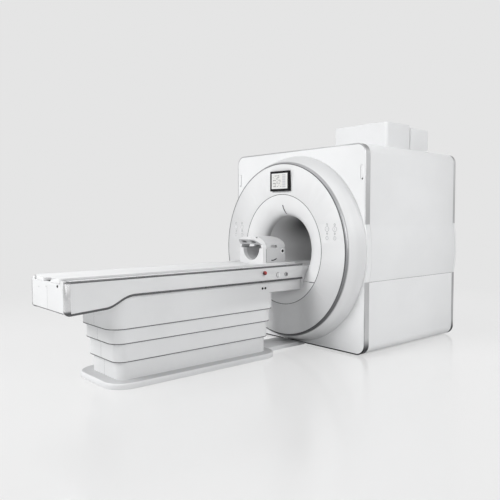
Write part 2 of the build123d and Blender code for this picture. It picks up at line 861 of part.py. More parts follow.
def table_frame():
    wide = table_width / 2 - panel_wall - seat_gap
    y0 = table_foot - table_overhang + trim_proud + foot_cap_wall + seat_gap
    y1 = table_head - undercover_wall - seat_gap
    beam = block(beam_offset - beam_width / 2, beam_offset + beam_width / 2, y0, y1, beam_low, beam_high)
    frame = beam + mirrored(beam)
    for y in cross_places():
        frame += block(-wide, wide, y - cross_width / 2, y + cross_width / 2, cross_low, cross_high)
    for y in (-column_offset, column_offset):
        middle = pedestal_middle + y
        size = saddle_size / 2
        frame += block(-size, size, middle - size, middle + size, saddle_low, beam_low)
        frame += block(-beam_offset, beam_offset, middle - size, middle + size, beam_low, cross_high)
    save("table_frame", frame)
    rails = []
    for side in (-1, 1):
        middle = side * rail_offset
        rails.append(block(middle - rail_width / 2, middle + rail_width / 2, y0, y1, beam_high, rail_top))
    save("table_rails", Compound([r.solids()[0] for r in rails]))

    motor_y = cross_places()[-2]
    motor_x = wheel_width / 2 + axle_reach + seat_gap
    y0, y1 = motor_y - motor_length / 2, motor_y + motor_length / 2
    body = block(motor_x, motor_x + motor_width, y0, y1, cross_high, cross_high + motor_height)
    save("slide_motor", fillet(body.edges().filter_by(Axis.X), motor_round))
    wheel_z = top_low - wheel_gap - wheel_radius
    wheel = across(Pos(motor_y, wheel_z) * Circle(wheel_radius), -wheel_width / 2, wheel_width / 2)
    wheel += across(Pos(motor_y, wheel_z) * Circle(axle_radius), 0, wheel_width / 2 + axle_reach)
    save("drive_wheel", wheel)


def pedestal_outline(step, inset):
    """The outline of one telescoping cover, counted from the top, moved inwards."""
    width = pedestal_width - 2 * step * step_side - 2 * inset
    length = pedestal_length - 2 * step * step_end - 2 * inset
    corner = pedestal_corner - step * step_side - inset
    return Pos(0, pedestal_middle) * RectangleRounded(width, length, corner)


def tube(step, inset, wall, low, high):
    ring = pedestal_outline(step, inset) - pedestal_outline(step, inset + wall)
    return extrude(Pos(0, 0, low) * ring, high - low)


def pedestal():
    """Four covers that telescope: each hangs by a lip on the one above it."""
    names = ("pedestal_cover_top", "pedestal_cover_middle", "pedestal_cover_lower", "pedestal_cover_foot")
    lows = (middle_top, lower_top, foot_top, base_thickness)
    last = len(names) - 1
    for step, name in enumerate(names):
        low = lows[step]
        high = pedestal_top if step == 0 else lows[step - 1] + 2 * lip + seat_gap
        cover = tube(step, 0, pedestal_wall, low, high)
        if step < last:
            ledge = pedestal_outline(step, pedestal_wall - 1) - pedestal_outline(step + 1, -lip_clearance)
            cover += extrude(Pos(0, 0, low) * ledge, lip)
        if step > 0:
            cover += tube(step, -lip, lip + 1, high - lip, high)
        end = pedestal_middle - pedestal_length / 2 + step * step_end
        groove = groove_width / 2
        cover -= block(-groove, groove, end - 1, end + groove_depth, low - 1, high - lip - seat_gap)
        if step == 0:
            x = pedestal_width / 2
            for side in (-1, 1):
                hole = Pos(key_y + side * key_pitch / 2, key_z) * Circle(key_radius + key_hole_gap)
                cover -= across(hole, x - pedestal_wall - 1, x + 1)
        save(name, cover)

    base = Pos(0, base_middle) * RectangleRounded(base_width, base_length, base_corner)
    plate = extrude(base, base_thickness)
    plate = fillet(plate.faces().sort_by(Axis.Z)[-1].edges(), base_edge)
    holes = Pos(0, base_middle) * GridLocations(base_hole_spacing_x, base_hole_spacing_y, 2, 2)
    plate -= [place * Cylinder(base_hole_radius, 2 * table_top) for place in holes]
    save("base_plate", plate)
    x = dock_width / 2
    start = base_middle + base_length / 2 + seat_gap
    dock_end = front - dock_end_reach
    dock = block(-x, x, start, dock_end, 0, dock_thickness)
    dock = fillet(dock.edges().filter_by(Axis.Y).sort_by(Axis.Z)[-2:], dock_round)
    dock += block(-x, x, dock_end, front - seat_gap, 0, dock_tongue)
    save("dock_plate", dock)


def square_tube(size, wall, low, high):
    places = [Pos(0, pedestal_middle + y, low) for y in (-column_offset, column_offset)]
    section = RectangleRounded(size, size, column_corner)
    section -= RectangleRounded(size - 2 * wall, size - 2 * wall, column_corner / 2)
    return Compound([extrude(place * section, high - low).solids()[0] for place in places])


def lift():
    """Two three-stage columns that raise the table, and the motor between them."""
    shrink = 2 * (column_wall + column_gap)
    low = base_thickness
    save("lift_column_outer", square_tube(column_width, column_wall, low, low + column_length))
    low += column_length - column_overlap
    save("lift_column_middle", square_tube(column_width - shrink, column_wall, low, low + column_length))
    low += column_length - column_overlap
    save("lift_column_inner", square_tube(column_width - 2 * shrink, column_wall, low, saddle_low))
    y = lift_motor_length / 2
    x = lift_motor_width / 2
    foot_top = base_thickness + lift_motor_foot
    motor = block(-x, x, pedestal_middle - y, pedestal_middle + y, base_thickness, foot_top)
    round_body = Pos(0, foot_top + lift_motor_radius - lift_motor_sink) * Circle(lift_motor_radius)
    y -= lift_motor_sink
    save("lift_motor", motor + along(round_body, pedestal_middle - y, pedestal_middle + y))


def controls():
    """The stop button and two turning knobs on the side panel, and two keys on the pedestal."""
    x = table_width / 2
    inner = x - panel_wall - shank_inside
    place = Pos(stop_y, top_low - stop_drop)
    stop = across(place * Circle(stop_neck_radius), inner, x + stop_reach - 1)
    cap = across(place * Circle(stop_radius), x + stop_reach - stop_cap, x + stop_reach)
    stop += fillet(cap.edges().group_by(Axis.X)[-1], stop_edge)
    save("stop_button", stop)
    release = ("release_knob", release_setback, knob_radius)
    knobs = (release, ("lock_knob", lock_knob_setback, lock_knob_radius))
    for name, setback, radius in knobs:
        y = table_head - setback
        knob = across(Pos(y, knob_z) * Circle(knob_shank), inner, x + 2 * knob_gap)
        knob += across(Pos(y, knob_z) * Circle(radius), x + knob_gap, x + knob_dial)
        grip = Pos(y, knob_z) * SlotOverall(2 * radius - 2, knob_bar, rotation=90)
        bar = across(grip, x + knob_dial - 1, x + knob_reach)
        save(name, knob + fillet(bar.edges().group_by(Axis.X)[-1], knob_edge))
    x = pedestal_width / 2
    for name, side in (("key_up", -1), ("key_down", 1)):
        key = Pos(key_y + side * key_pitch / 2, key_z) * Circle(key_radius)
        save(name, across(key, x - pedestal_wall - shank_inside, x + key_reach))


def head_coil():
    """A cradle for the head, and a lid with a visor that tips up about two side pins."""
    width = 2 * coil_half_width
    outer = Pos(0, (top_low + coil_part) / 2) * Rectangle(width, coil_part - top_low)
    inner_low = top_rim + coil_floor
    bowl = Pos(0, inner_low + coil_inner_half) * Circle(coil_inner_half)
    bowl += Pos(0, inner_low + 2 * coil_inner_half) * Rectangle(2 * coil_inner_half, 2 * coil_inner_half)
    base = along(outer, coil_front, coil_rear)
    base = fillet(base.faces().sort_by(Axis.Y)[-1].edges().sort_by(Axis.Z)[-1], pivot_inset)
    base -= along(bowl, coil_front - 1, coil_rear + 1)
    base -= along(offset(tabletop_face(), seat_gap), coil_front - 1, coil_rear + 1)

    part = coil_part + seat_gap
    pivot = Pos(pivot_y, pivot_z)
    swing = arm_radius + seat_gap
    pocket = block(-width, width, pivot_y - swing, coil_rear + 1, pivot_z - swing, part)
    arm_x = coil_half_width - arm_wall
    arm = pivot * Circle(arm_radius)
    arm += Pos(pivot_y, (pivot_z + part) / 2 + 1) * Rectangle(2 * arm_radius, part - pivot_z + 2)
    pin_x = arm_x - pivot_depth
    arms = []
    hole = pivot * Circle(pivot_radius + pivot_clearance)
    base -= pocket - block(seat_gap - arm_x, arm_x - seat_gap, coil_front, coil_rear + 2, 0, part + 1)
    for side in (-1, 1):
        base -= across(hole, *sorted((side * (pin_x - 1), side * width)))
        plate = across(arm, *sorted((side * arm_x, side * coil_half_width)))
        arms.append(plate + across(pivot * Circle(pivot_radius), *sorted((side * pin_x, side * (arm_x + 1)))))
    save("head_coil_base", base)

    rise = coil_lid_height
    wall = coil_lid_wall
    tip = coil_front - visor_reach
    above = Pos(0, part + rise) * Rectangle(2 * width, 2 * rise)
    lid = along(Pos(0, part) * Ellipse(coil_half_width, rise) & above, tip, coil_rear)
    wide = coil_half_width + 2
    plan = Wire([
        EllipticalCenterArc((0, coil_front), wide, visor_reach, 180, arc_size=180),
        Line((wide, coil_front), (wide, coil_rear + 2)),
        Line((wide, coil_rear + 2), (-wide, coil_rear + 2)),
        Line((-wide, coil_rear + 2), (-wide, coil_front)),
    ])
    lid &= extrude(Pos(0, 0, part - 1) * make_face(plan), 2 * rise)
    side = Pos((tip + coil_rear) / 2, part) * Rectangle(coil_rear - tip, 2 * (rise + 1))
    side = fillet(side.vertices().sort_by(Axis.X)[-2:], coil_rear_round)
    lid &= across(side, -width, width)
    brow = part + brow_height
    lid -= across(polygon([(coil_front, brow), (tip - 1, brow + visor_rise), (tip - 1, part - 1),
                           (coil_front, part - 1)]), -width, width)
    back = coil_front + visor_wall
    lean = visor_reach * (rise - brow_height) / visor_rise
    room = across(polygon([(coil_front - 1, part - 1), (coil_rear + 1, part - 1), (coil_rear + 1, part + rise),
                           (back - lean, part + rise), (back, brow), (coil_front - 1, brow)]), -width, width)
    lid -= room & along(Pos(0, part) * Ellipse(coil_half_width - wall, rise - wall), tip, coil_rear + 1)
    window_y, window_low = coil_rear - window_rear, part + window_lift
    lid -= block(-width, width, window_y - window_length, window_y, window_low, window_low + window_height)
    eye_z = brow + visor_rise / 2
    for side_x in (-eye_window_offset, eye_window_offset):
        eye = Pos(side_x, eye_z) * RectangleRounded(eye_window_width, eye_window_height, eye_window_corner)
        lid -= along(eye, tip - 1, coil_front + 2 * visor_wall)
    for piece in arms:
        lid += piece
    save("head_coil_lid", lid)


os.makedirs("parts", exist_ok=True)
gantry_covers()
round_front()
monitor()
magnet()
cover_frame()
roof_boxes()
bore_deck()
table_sides()
table_ends()
tabletop()
table_frame()
pedestal()
lift()
controls()
head_coil()
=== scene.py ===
import json
import math
import bmesh
import bpy
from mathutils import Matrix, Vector


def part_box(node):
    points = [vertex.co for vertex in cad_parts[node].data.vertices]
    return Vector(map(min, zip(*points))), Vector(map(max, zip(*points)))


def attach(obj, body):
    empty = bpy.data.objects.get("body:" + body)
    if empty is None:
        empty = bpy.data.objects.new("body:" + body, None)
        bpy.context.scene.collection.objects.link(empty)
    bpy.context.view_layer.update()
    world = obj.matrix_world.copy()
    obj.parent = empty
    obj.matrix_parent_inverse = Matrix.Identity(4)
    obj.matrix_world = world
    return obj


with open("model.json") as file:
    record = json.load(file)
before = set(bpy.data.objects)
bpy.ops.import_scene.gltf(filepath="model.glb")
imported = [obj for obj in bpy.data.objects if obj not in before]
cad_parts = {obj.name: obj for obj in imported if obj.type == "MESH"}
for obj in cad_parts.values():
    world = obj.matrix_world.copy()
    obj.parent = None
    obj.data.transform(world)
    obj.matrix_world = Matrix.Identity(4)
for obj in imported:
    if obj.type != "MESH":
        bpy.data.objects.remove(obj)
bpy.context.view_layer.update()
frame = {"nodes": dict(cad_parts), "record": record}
nodes = frame["nodes"]
print("frame loaded:", len(nodes), "nodes")


class Wire:  # a node's output, so that finishes can be written as sums and products
    def __init__(self, finish, socket):
        self.finish = finish
        self.socket = socket

    def maths(self, operation, *others):
        return self.finish.add("Math", {"operation": operation}, dict(enumerate((self,) + others)))

    def __add__(self, other): return self.maths("ADD", other)
    __radd__ = __add__
    def __mul__(self, other): return self.maths("MULTIPLY", other)
    __rmul__ = __mul__
    def __sub__(self, other): return self.maths("SUBTRACT", other)
    def __rsub__(self, other): return (self * -1) + other
    def __pow__(self, other): return self.maths("POWER", other)
    def above(self, other): return self.maths("GREATER_THAN", other)
    def below(self, other): return self.maths("LESS_THAN", other)
    def size(self): return self.maths("ABSOLUTE")
    def most(self, other): return self.maths("MAXIMUM", other)

    def ramp(self, low, high, toLow=0.0, toHigh=1.0):
        return self.finish.add("MapRange", {"interpolation_type": "SMOOTHSTEP"},
                               {"Value": self, "From Min": low, "From Max": high,
                                "To Min": toLow, "To Max": toHigh})


class Finish:  # one material and its nodes; x, y and z are places on the piece, metres
    def __init__(self, name):
        self.material = bpy.data.materials.new(name)
        self.material.use_nodes = True
        self.tree = self.material.node_tree
        self.tree.nodes.clear()
        self.place = self.add("TexCoord", out="Object")
        split = self.add("SeparateXYZ", {}, {0: self.place}, out=None)
        self.x, self.y, self.z = (Wire(self, split.outputs[n]) for n in range(3))

    def feed(self, socket, value):
        if isinstance(value, Wire):
            self.tree.links.new(value.socket, socket)
        elif value is not None:
            if socket.type == "RGBA" and len(value) == 3:
                value = (*value, 1)
            socket.default_value = value

    def add(self, kind, settings=None, values=None, out=0):
        node = self.tree.nodes.new("ShaderNode" + kind)
        for name, value in (settings or {}).items():
            setattr(node, name, value)
        for name, value in (values or {}).items():
            self.feed(node.inputs[name], value)
        return node if out is None else Wire(self, node.outputs[out])

    def noise(self, scale, detail=3, roughness=0.5, stretch=None):
        place = self.place
        if stretch:
            place = self.add("VectorMath", {"operation": "MULTIPLY"}, {0: place, 1: stretch})
        return self.add("TexNoise", {}, {"Vector": place, "Scale": scale, "Detail": detail,
                                         "Roughness": roughness}, out="Fac")

    def blend(self, amount, first, second):
        return self.add("Mix", {"data_type": "RGBA"}, {0: amount, 6: first, 7: second}, out=2)

    def facing(self):  # how far a face looks up, from -1 to 1
        return self.add("SeparateXYZ", {}, {0: self.add("TexCoord", out="Normal")}, out="Z")

    def bump(self, height, distance, strength=1.0, normal=None):
        return self.add("Bump", {}, {"Height": height, "Distance": distance, "Strength": strength,
                                     "Normal": normal}, out=0)

    def surface(self, colour, roughness, metallic=0.0, coat=0.0, coatRoughness=0.05, normal=None,
                ior=1.45, specular=0.5, emission=None, glow=0.0):
        shader = self.add("BsdfPrincipled", {}, {
            "Base Color": colour, "Roughness": roughness, "Metallic": metallic, "Coat Weight": coat,
            "Coat Roughness": coatRoughness, "Normal": normal, "IOR": ior,
            "Specular IOR Level": specular, "Emission Color": emission, "Emission Strength": glow})
        self.add("OutputMaterial", {}, {"Surface": shader}, out=None)
        return self.material


# the moulded and sprayed covers, with two shades that drift into each other
coverPaint = {
    "cover_white": dict(light=(0.86, 0.865, 0.87), dark=(0.835, 0.84, 0.845), gloss=0.6, coat=0.03),
    "drum_white": dict(light=(0.80, 0.805, 0.81), dark=(0.775, 0.78, 0.785), gloss=0.44, coat=0.1,
                       paintedShade="drum"),
    "dish_white": dict(light=(0.85, 0.852, 0.857), dark=(0.825, 0.828, 0.832), gloss=0.36, coat=0.25,
                       paintedShade="dish"),
    "flare_white": dict(light=(0.88, 0.882, 0.887), dark=(0.855, 0.858, 0.862), gloss=0.34, coat=0.3,
                        paintedShade="funnel"),
    "table_white": dict(light=(0.83, 0.835, 0.84), dark=(0.80, 0.805, 0.81), gloss=0.46, coat=0.12,
                        paintedShade="table"),
    "tabletop_white": dict(light=(0.84, 0.843, 0.848), dark=(0.81, 0.813, 0.818), gloss=0.52, coat=0.05,
                           paintedShade="tabletop"),
    "pedestal_white": dict(light=(0.81, 0.815, 0.82), dark=(0.78, 0.785, 0.79), gloss=0.5, coat=0.08,
                           paintedShade="pedestal"),
    "coil_white": dict(light=(0.80, 0.80, 0.805), dark=(0.77, 0.77, 0.775), gloss=0.42, coat=0.15,
                       paintedShade="coil"),
    "base_white": dict(light=(0.80, 0.803, 0.81), dark=(0.76, 0.763, 0.77), gloss=0.52, coat=0.05,
                       paintedShade="base"),
    "deck_white": dict(light=(0.72, 0.723, 0.73), dark=(0.68, 0.683, 0.69), gloss=0.5, coat=0.0),
}

paintedShades = {  # painted shade: the greyer tone a cover is painted towards where less light reaches it, the most of it, and where, metres
    "coil": dict(shade=(0.56, 0.562, 0.568), most=1.0,
                 where=lambda f: f.y.above(-1.378).most(f.facing().below(-0.3))),
    "drum": dict(shade=(0.52, 0.522, 0.528), most=0.5,
                 where=lambda f: f.y.ramp(-0.93, -0.875, 0.0, 0.3)
                 .most(f.y.ramp(-0.98, -0.972, 2.0, 0.0))
                 .most(f.z.ramp(1.5, 2.0, 0.0, 0.62))),
    "dish": dict(shade=(0.5, 0.502, 0.508), most=0.6,
                 where=lambda f: (f.z.ramp(0.6, 1.05, 1.0, 0.0) * f.x.ramp(0.15, 0.5))
                 .most(f.x.ramp(-0.9, -0.4, 0.7, 0.0))),
    "table": dict(shade=(0.5, 0.502, 0.508), most=0.5,
                  where=lambda f: f.y.ramp(-2.6, -1.3).most(f.y.ramp(-3.48, -3.44, 0.2, 0.0))),
    "pedestal": dict(shade=(0.5, 0.502, 0.508), most=0.45,
                     where=lambda f: f.y.ramp(-2.5, -1.4) * f.z.ramp(0.48, 0.6)),
    "tabletop": dict(shade=(0.5, 0.502, 0.508), most=0.45,
                     where=lambda f: f.x.ramp(0.225, 0.262).most(f.x.ramp(-0.262, -0.225, 0.3, 0.0))),
    "base": dict(shade=(0.48, 0.483, 0.49), most=0.8, where=lambda f: f.z.above(0.0485)),
    "funnel": dict(shade=(0.2, 0.2, 0.204), most=0.58,
                   where=lambda f: f.y.ramp(-0.94, -0.858) * f.x.ramp(-0.1, 0.3, 1.0, 0.15)),
}

lacquerSkin = {  # each grain is scale, detail and roughness; heights and depths in metres
    "cloud": (1.6, 4, 0.55), "cloudEdges": (0.35, 0.65),
    "dustGrain": (24, 5, 0.6), "dustEdges": (0.5, 0.75), "dustTop": 0.25, "dust": (0.6, 0.59, 0.57),
    "dustAmount": 0.1, "dustDull": 0.08,
    "wiped": (3, 2, 0.5), "wipedEdges": (0.3, 0.7), "wipedDull": 0.03,
    "peel": (900, 2, 0.4), "peelDepth": 0.00002, "peelStrength": 0.25,
    "specular": 0.38, "coatRoughness": 0.28,
}


def lacquer(name, light, dark, gloss, coat, paintedShade=None):
    finish, skin = Finish(name), lacquerSkin
    colour = finish.blend(finish.noise(*skin["cloud"]).ramp(*skin["cloudEdges"]), dark, light)
    # painted shade: the cover is greyed where less light reaches it
    if paintedShade:
        zone = paintedShades[paintedShade]
        colour = finish.blend(zone["where"](finish) * zone["most"], colour, zone["shade"])
    low = finish.z.ramp(0.0, skin["dustTop"], 1.0, 0.0)
    dust = low * finish.noise(*skin["dustGrain"]).ramp(*skin["dustEdges"])
    colour = finish.blend(dust * skin["dustAmount"], colour, skin["dust"])
    wiped = finish.noise(*skin["wiped"]).ramp(*skin["wipedEdges"]) * skin["wipedDull"]
    dull = wiped + (gloss - skin["wipedDull"] / 2) + dust * skin["dustDull"]
    peel = finish.bump(finish.noise(*skin["peel"]), skin["peelDepth"], skin["peelStrength"])
    return finish.surface(colour, dull, coat=coat, specular=skin["specular"],
                          coatRoughness=skin["coatRoughness"], normal=peel)


paints = {name: lacquer(name, **paint) for name, paint in coverPaint.items()}
print("cover paints made")


def brushed(name, colour, dull, roughness, along=(1, 1, 1), scale=220, metallic=0.9, shade=None,
            dark=(0.03, 0.031, 0.034)):
    finish = Finish(name)
    grain = finish.noise(scale, 3, 0.6, along)
    stain = finish.noise(3, 2, 0.5).ramp(0.35, 0.65)
    tone = finish.blend(grain.ramp(0.3, 0.7) * 0.5 + stain * 0.5, dull, colour)
    if shade:  # painted shade: the metal is darkened where the mask says
        tone = finish.blend(shade(finish), tone, dark)
    return finish.surface(tone, grain * 0.08 + stain * 0.04 + (roughness - 0.06), metallic,
                          normal=finish.bump(grain, 0.00003, 0.3))


def moulded(name, colour, dull, roughness, grainScale=900, depth=0.00006, coat=0.0, specular=0.5,
            shade=None, dark=None):
    finish = Finish(name)
    grain = finish.noise(grainScale, 2, 0.5)
    handling = finish.noise(18, 4, 0.6).ramp(0.4, 0.7)
    tone = finish.blend(handling, colour, dull)
    # a darker tone where the mask says: painted shade on the stop button, a dark grip on the grey knob
    if shade:
        tone = finish.blend(shade(finish), tone, dark)
    return finish.surface(tone, handling * 0.1 + roughness, coat=coat, specular=specular,
                          normal=finish.bump(grain, depth, 0.6))


def linerPaint():  # the bore's lining is a laminate, with painted shade darker overhead and further in
    finish = Finish("liner_white")
    speckle = finish.noise(700, 2, 0.5)
    inward = finish.y.ramp(-0.95, -0.35, 0.4, 0.98)
    overhead = finish.z.ramp(1.02, 1.36) * inward + finish.y.ramp(-0.8, 0.0, 0.0, 0.2)
    tone = finish.blend(overhead, (0.86, 0.86, 0.865), (0.05, 0.05, 0.052))
    tone = finish.blend(speckle.ramp(0.4, 0.7) * 0.2, tone, (0.5, 0.5, 0.505))
    paintedGlow = finish.blend(finish.y.ramp(-0.86, -0.3), tone, (0, 0, 0))  # painted glow: the lining glows by the bore's mouth, though no lamp is there
    return finish.surface(tone, speckle * 0.1 + 0.45, normal=finish.bump(speckle, 0.00003, 0.4),
                          emission=paintedGlow, glow=0.12)


touchMarks = {  # where the keys printed on the dish are, metres from the middle line and over the floor
    "columns": (0.674, 0.780), "rows": (1.183, 1.228, 1.273, 1.318),
    "radii": (0.022, 0.011, 0.032, 0.013), "line": 0.0022,
    "paper": (0.84, 0.842, 0.847), "ink": (0.34, 0.345, 0.355),
    "ringAt": 0.78, "barLine": 0.8, "barReach": 0.4,  # shares of a key's radius and of the line
}


def touchPrint():  # each key shows as a fine ring with a stroke in it, level or upright
    finish = Finish("key_print")
    across = finish.x.size()
    ink = None
    for number, column in enumerate(touchMarks["columns"]):
        for row, radius in zip(touchMarks["rows"], touchMarks["radii"]):
            u, v = across - column, finish.z - row
            away = (u * u + v * v) ** 0.5
            ring = (away - radius * touchMarks["ringAt"]).size().below(touchMarks["line"])
            bars = (u.size() if number else v.size()).below(touchMarks["line"] * touchMarks["barLine"])
            mark = ring.most(bars * away.below(radius * touchMarks["barReach"]))
            ink = mark if ink is None else ink.most(mark)
    rub = finish.noise(160, 3, 0.6).ramp(0.35, 0.65)
    tone = finish.blend(ink * (rub * 0.3 + 0.7), touchMarks["paper"], touchMarks["ink"])
    return finish.surface(tone, rub * 0.06 + 0.32, coat=0.25, coatRoughness=0.2,
                          normal=finish.bump(rub, 0.00002, 0.3))


screenMarks = {  # metres on the glass; rows and keys are so many to a metre
    "middle": 1.7775, "ground": (0.72, 0.722, 0.70), "rim": (0.80, 0.81, 0.80), "page": (0.112, 0.074),
    "grey": (0.2, 0.2, 0.21), "row": 62.0, "rowGap": 0.45, "left": (-0.104, 0.028), "leftHalf": 0.066,
    "panel": (0.5, 0.51, 0.54), "column": 38.0, "keyGap": 0.2, "side": (0.044, 0.092), "sideHalf": 0.07,
}


def screenPrint():  # a plain status page: rows of blocks and a column of soft keys, with no writing
    finish = Finish("screen")
    height = finish.z - screenMarks["middle"]
    rows = (finish.z * screenMarks["row"]).maths("FRACT").above(screenMarks["rowGap"])
    cells = finish.noise(36, 1, 0.3, (1.0, 1.0, 1.7)).ramp(0.5, 0.56)
    start, end = screenMarks["left"]
    left = finish.x.below(end) * finish.x.above(start) * height.size().below(screenMarks["leftHalf"])
    blocks = rows * cells * left
    start, end = screenMarks["side"]
    side = finish.x.above(start) * finish.x.below(end) * height.size().below(screenMarks["sideHalf"])
    keys = side * (height * screenMarks["column"]).maths("FRACT").above(screenMarks["keyGap"])
    wide, tall = screenMarks["page"]
    page = finish.x.size().below(wide) * height.size().below(tall)
    tone = finish.blend(page, screenMarks["rim"], screenMarks["ground"])
    tone = finish.blend(blocks * 0.8, tone, screenMarks["grey"])
    tone = finish.blend(keys * 0.7, tone, screenMarks["panel"])
    dust = finish.noise(200, 3, 0.6)
    return finish.surface(tone, dust * 0.05 + 0.12, coat=0.3, emission=tone, glow=0.06,
                          normal=finish.bump(dust, 0.00001, 0.2))


def frontShade(finish):  # painted shade: the gantry's edge bands are painted darkest at the corners
    topCorner = finish.z.ramp(2.0, 2.1) * finish.x.ramp(0.6, 0.9, 0.3, 0.6)
    return topCorner.most(finish.z.ramp(0.06, 0.2, 1.0, 0.15))


# painted shade: the ring is darkened low down and towards its left
def ringShade(finish):
    low = finish.z.ramp(0.2, 1.5, 0.72, 0.25)
    return low.most(finish.x.ramp(0.0, 0.75, 0.3, 0.34)).most(finish.x.ramp(-0.8, -0.1, 0.5, 0.3))


# painted shade: the lip is darkened low down and towards its right
def lipShade(finish):
    return finish.z.ramp(0.2, 1.2, 0.85, 0.0).most(finish.x.ramp(-0.5, 0.7, 0.45, 0.78))


def tableShade(finish):  # painted shade: the long edges are darkened nearly to black, the top one a little less, and the band round the foot end is left bright
    band = finish.y.below(-3.4746) * finish.z.ramp(0.668, 0.69) * finish.z.ramp(0.882, 0.9, 1.0, 0.0)
    return (1 - band) * finish.z.ramp(0.89, 0.9, 0.86, 0.78)


metals = {
    "trim_silver": dict(colour=(0.78, 0.782, 0.79), dull=(0.7, 0.703, 0.71), roughness=0.34,
                        along=(0.15, 0.15, 1), shade=frontShade),
    "ring_grey": dict(colour=(0.6, 0.605, 0.615), dull=(0.5, 0.505, 0.515), roughness=0.46,
                      shade=ringShade),
    "ringLip": dict(colour=(0.6, 0.605, 0.615), dull=(0.5, 0.505, 0.515), roughness=0.36,
                    shade=lipShade),
    "table_trim": dict(colour=(0.78, 0.783, 0.79), dull=(0.7, 0.703, 0.71), roughness=0.28,
                       along=(1, 0.1, 1), shade=tableShade),
    "bare_steel": dict(colour=(0.52, 0.52, 0.53), dull=(0.42, 0.42, 0.43), roughness=0.36),
    "frame_steel": dict(colour=(0.4, 0.41, 0.43), dull=(0.33, 0.34, 0.36), roughness=0.42, scale=120),
    "vessel_steel": dict(colour=(0.6, 0.6, 0.6), dull=(0.5, 0.5, 0.5), roughness=0.35,
                         along=(1, 0.15, 1)),
    "column_steel": dict(colour=(0.58, 0.59, 0.6), dull=(0.5, 0.51, 0.52), roughness=0.28,
                         along=(1, 1, 0.1)),
}
mouldings = {
    "coil_resin": dict(colour=(0.42, 0.3, 0.14), dull=(0.34, 0.24, 0.11), roughness=0.35, grainScale=60,
                       depth=0.0004),
    "motor_grey": dict(colour=(0.2, 0.21, 0.22), dull=(0.16, 0.17, 0.18), roughness=0.5),
    "wheel_rubber": dict(colour=(0.05, 0.05, 0.052), dull=(0.075, 0.075, 0.075), roughness=0.7,
                         grainScale=500),
    "stop_red": dict(colour=(0.46, 0.05, 0.046), dull=(0.38, 0.035, 0.032), roughness=0.3,
                     grainScale=1500, depth=0.00002, coat=0.4, dark=(0.09, 0.012, 0.012),
                     # painted shade: the stop button darkens towards its lower side and the foot end
                     shade=lambda f: (f.y + f.z + 0.702).ramp(-0.022, 0.012, 1.0, 0.0)),
    "key_black": dict(colour=(0.012, 0.012, 0.013), dull=(0.02, 0.02, 0.021), roughness=0.42,
                      specular=0.25),
    "knob_white": dict(colour=(0.84, 0.84, 0.85), dull=(0.78, 0.78, 0.79), roughness=0.34),
    "knob_grey": dict(colour=(0.6, 0.603, 0.61), dull=(0.52, 0.523, 0.53), roughness=0.4,
                      shade=lambda f: f.x.above(0.3545), dark=(0.1, 0.1, 0.104)),
    "monitor_black": dict(colour=(0.008, 0.008, 0.009), dull=(0.014, 0.014, 0.015), roughness=0.45,
                          grainScale=1100, depth=0.00003, specular=0.15),
    "laser_glass": dict(colour=(0.012, 0.012, 0.014), dull=(0.02, 0.018, 0.02), roughness=0.14,
                        grainScale=1500, depth=0.00001, coat=0.8),
    "seamSeal": dict(colour=(0.11, 0.112, 0.116), dull=(0.16, 0.162, 0.166), roughness=0.6,
                     grainScale=700),
}
finishes = dict(paints, liner_white=linerPaint(), key_print=touchPrint(), screen=screenPrint())
for name, look in metals.items():
    finishes[name] = brushed(name, **look)
for name, look in mouldings.items():
    finishes[name] = moulded(name, **look)
print("metals, mouldings and prints made")

edgeRounds = {  # metres that each finish's edges are rounded by, so that the joints between covers show
    "cover_white": 0.003, "drum_white": 0.0025, "dish_white": 0.002, "flare_white": 0.002,
    "table_white": 0.002, "tabletop_white": 0.002, "coil_white": 0.004, "base_white": 0.003,
    "deck_white": 0.001, "ring_grey": 0.004, "table_trim": 0.0012, "monitor_black": 0.002,
}
squareLeft = ("front_cover", "rear_cover")  # their surface doesn't take the modifiers
meshing = {  # distances in metres, angles in degrees
    "join": 0.00002, "flat": 0.05, "corner": 32, "steps": 2, "weld": 0.000005, "weldCopied": 0.00001,
    "roundSteps": 48,
}


def roundEdges(piece, width):
    join = piece.modifiers.new("join", "WELD")
    join.merge_threshold = meshing["join"]
    flat = piece.modifiers.new("flat", "DECIMATE")
    flat.decimate_type = "DISSOLVE"
    flat.angle_limit = math.radians(meshing["flat"])
    soft = piece.modifiers.new("soft", "BEVEL")
    soft.width = width
    soft.segments = meshing["steps"]
    soft.limit_method = "ANGLE"
    soft.angle_limit = math.radians(meshing["corner"])
    soft.harden_normals = True
    piece.data.polygons.foreach_set("use_smooth", [True] * len(piece.data.polygons))


for part in frame["record"]["subparts"]:
    mesh = nodes[part["node"]].data
    mesh.materials.clear()
    mesh.materials.append(finishes[part["material_slot"]])
    if part["material_slot"] in edgeRounds and part["node"] not in squareLeft:
        roundEdges(nodes[part["node"]], edgeRounds[part["material_slot"]])
print("finishes given to", len(nodes), "nodes")


def begin(name, add, **values):  # a primitive on its own, open in edit mode and selected all over
    if bpy.context.mode != "OBJECT":
        bpy.ops.object.mode_set(mode="OBJECT")
    bpy.ops.object.select_all(action="DESELECT")
    add(**values)
    piece = bpy.context.object
    piece.name = name
    bpy.ops.object.transform_apply(location=True, rotation=True, scale=True)
    bpy.ops.object.mode_set(mode="EDIT")
    bpy.ops.mesh.select_all(action="SELECT")
    return piece


def pickFaces(piece, test):
    bpy.ops.mesh.select_mode(type="FACE")
    bpy.ops.mesh.select_all(action="DESELECT")
    shape = bmesh.from_edit_mesh(piece.data)
    for face in shape.faces:
        face.select_set(test(face.calc_center_median(), face.normal))
    bmesh.update_edit_mesh(piece.data)


def pickEdges(piece, test):
    bpy.ops.mesh.select_mode(type="EDGE")
    bpy.ops.mesh.select_all(action="DESELECT")
    shape = bmesh.from_edit_mesh(piece.data)
    for edge in shape.edges:
        ends = [corner.co for corner in edge.verts]
        edge.select_set(test((ends[0] + ends[1]) / 2, (ends[1] - ends[0]).normalized()))
    bmesh.update_edit_mesh(piece.data)


fitted = {}  # body and slot of each new piece, for its copy on the other side


